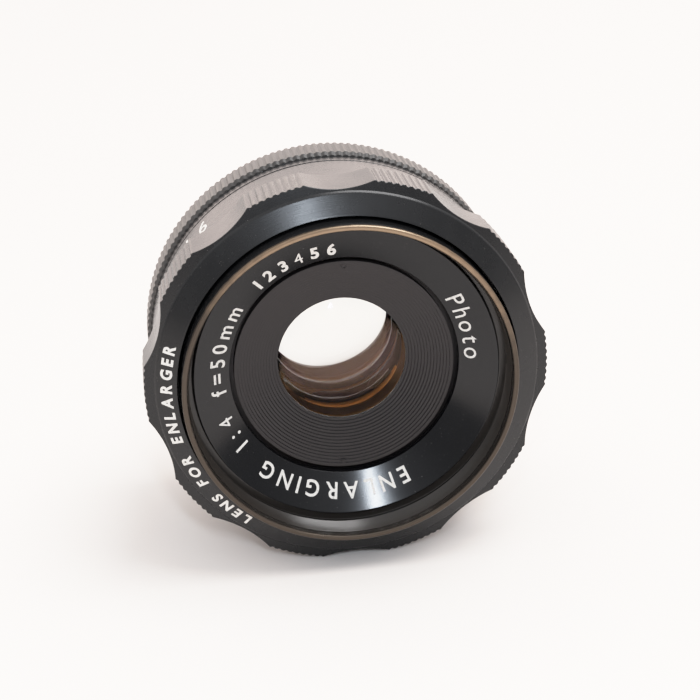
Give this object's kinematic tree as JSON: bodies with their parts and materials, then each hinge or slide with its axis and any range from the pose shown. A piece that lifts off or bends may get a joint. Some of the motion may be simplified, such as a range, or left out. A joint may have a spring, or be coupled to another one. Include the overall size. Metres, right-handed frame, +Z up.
{
  "type": "enlarging lens",
  "caption": "Short black enlarging lens with a scalloped aperture ring, click stops, a bladed iris, a filter thread in front and a 39 mm mounting thread behind.",
  "frame": {"origin": "centre of the mounting flange's face, on the optical axis", "axes": "+Y along the optical axis towards the rear, +Z up as the lens lies on its side, +X to the right seen from the front"},
  "size_m": [0.043, 0.0276, 0.0424],
  "materials": {
    "black_anodised": "satin black anodised aluminium, fine turning marks, white filled engraving",
    "dull_black": "matt black over turned metal",
    "worn_brass": "black coated brass, worn to bronze at the edges",
    "coated_glass": "polished optical glass with a thin coating",
    "screw_steel": "fine turned steel",
    "blade_steel": "blackened spring steel"
  },
  "bodies": {
    "barrel": {"main_barrel": "black_anodised", "mount_ring": "black_anodised", "mount_screws": "screw_steel", "index_ring": "black_anodised", "iris_base": "dull_black", "iris_retaining_ring": "screw_steel", "click_spring": "screw_steel", "front_cell": "dull_black", "front_lens": "coated_glass", "lens_spacer": "dull_black", "middle_lens": "coated_glass", "front_retaining_ring": "worn_brass", "front_tube": "worn_brass", "name_ring": "black_anodised", "rear_cell": "black_anodised", "rear_lens_front": "coated_glass", "rear_lens_back": "coated_glass", "rear_retaining_ring": "worn_brass"},
    "stop_control": {"aperture_ring": "black_anodised", "drive_screw": "screw_steel", "cam_ring": "dull_black"},
    "ball": {"click_ball": "screw_steel"},
    "iris_blade_1": {"iris_blade_1": "blade_steel"},
    "iris_blade_2": {"iris_blade_2": "blade_steel"},
    "iris_blade_3": {"iris_blade_3": "blade_steel"},
    "iris_blade_4": {"iris_blade_4": "blade_steel"},
    "iris_blade_5": {"iris_blade_5": "blade_steel"},
    "iris_blade_6": {"iris_blade_6": "blade_steel"},
    "iris_blade_7": {"iris_blade_7": "blade_steel"},
    "iris_blade_8": {"iris_blade_8": "blade_steel"}
  },
  "joints": [
    {"name": "aperture_turn", "type": "hinge", "parent": "barrel", "child": "stop_control", "pos_m": [0, 0, 0], "axis": [0, -1, 0], "range_deg": [0, 80]},
    {"name": "iris_blade_1_swing", "type": "hinge", "parent": "barrel", "child": "iris_blade_1", "pos_m": [0.0102, -0.0033, 0], "axis": [0, -1, 0], "range_deg": [-27.2, 0]},
    {"name": "iris_blade_2_swing", "type": "hinge", "parent": "barrel", "child": "iris_blade_2", "pos_m": [0.00721, -0.0033, 0.00721], "axis": [0, -1, 0], "range_deg": [-27.2, 0]},
    {"name": "iris_blade_3_swing", "type": "hinge", "parent": "barrel", "child": "iris_blade_3", "pos_m": [0, -0.0033, 0.0102], "axis": [0, -1, 0], "range_deg": [-27.2, 0]},
    {"name": "iris_blade_4_swing", "type": "hinge", "parent": "barrel", "child": "iris_blade_4", "pos_m": [-0.00721, -0.0033, 0.00721], "axis": [0, -1, 0], "range_deg": [-27.2, 0]},
    {"name": "iris_blade_5_swing", "type": "hinge", "parent": "barrel", "child": "iris_blade_5", "pos_m": [-0.0102, -0.0033, 0], "axis": [0, -1, 0], "range_deg": [-27.2, 0]},
    {"name": "iris_blade_6_swing", "type": "hinge", "parent": "barrel", "child": "iris_blade_6", "pos_m": [-0.00721, -0.0033, -0.00721], "axis": [0, -1, 0], "range_deg": [-27.2, 0]},
    {"name": "iris_blade_7_swing", "type": "hinge", "parent": "barrel", "child": "iris_blade_7", "pos_m": [0, -0.0033, -0.0102], "axis": [0, -1, 0], "range_deg": [-27.2, 0]},
    {"name": "iris_blade_8_swing", "type": "hinge", "parent": "barrel", "child": "iris_blade_8", "pos_m": [0.00721, -0.0033, -0.00721], "axis": [0, -1, 0], "range_deg": [-27.2, 0]},
    {"name": "click_ball_travel", "type": "slide", "parent": "barrel", "child": "ball", "axis": [0.5, 0, 0.866], "range_m": [0, 0.0002]}
  ],
  "couplings": [
    {"joint": "iris_blade_1_swing", "follows": "aperture_turn", "ratio": -0.34},
    {"joint": "iris_blade_2_swing", "follows": "aperture_turn", "ratio": -0.34},
    {"joint": "iris_blade_3_swing", "follows": "aperture_turn", "ratio": -0.34},
    {"joint": "iris_blade_4_swing", "follows": "aperture_turn", "ratio": -0.34},
    {"joint": "iris_blade_5_swing", "follows": "aperture_turn", "ratio": -0.34},
    {"joint": "iris_blade_6_swing", "follows": "aperture_turn", "ratio": -0.34},
    {"joint": "iris_blade_7_swing", "follows": "aperture_turn", "ratio": -0.34},
    {"joint": "iris_blade_8_swing", "follows": "aperture_turn", "ratio": -0.34}
  ]
}
